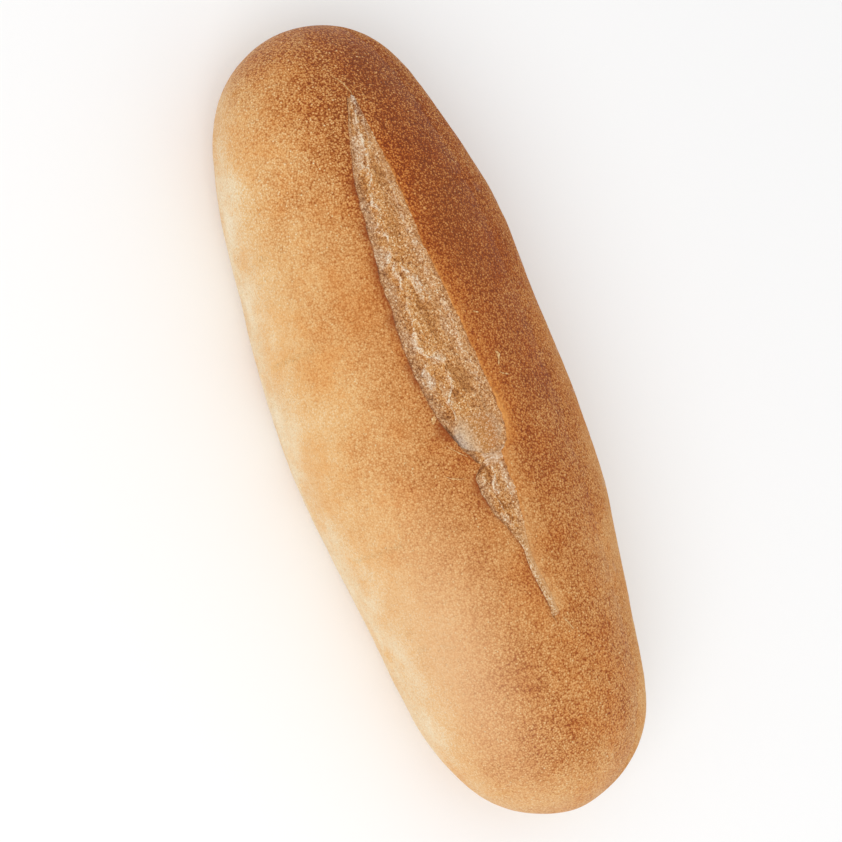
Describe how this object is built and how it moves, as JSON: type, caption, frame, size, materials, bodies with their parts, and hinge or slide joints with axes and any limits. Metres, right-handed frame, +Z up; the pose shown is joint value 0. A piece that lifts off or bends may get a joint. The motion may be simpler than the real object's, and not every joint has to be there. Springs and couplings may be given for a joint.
{
  "type": "bread roll",
  "caption": "Long oval white bread roll with a flat base, a browned crust and one lengthwise score that burst open along its top, showing torn crumb.",
  "frame": {"origin": "on the ground under the middle of the roll's box", "axes": "+X along the roll, towards its paler end; -Y is the side from which the crumb broke out of the score; +Z up, out of the scored top"},
  "size_m": [0.18, 0.0638, 0.0444],
  "materials": {
    "crust": "matt browned crust, paler low on the flanks and darker towards the -X end and the +Y side of the top",
    "crumb": "matt torn crumb inside the burst, cream to tan"
  },
  "bodies": {
    "root": {"bread_roll": "crust"}
  },
  "joints": []
}
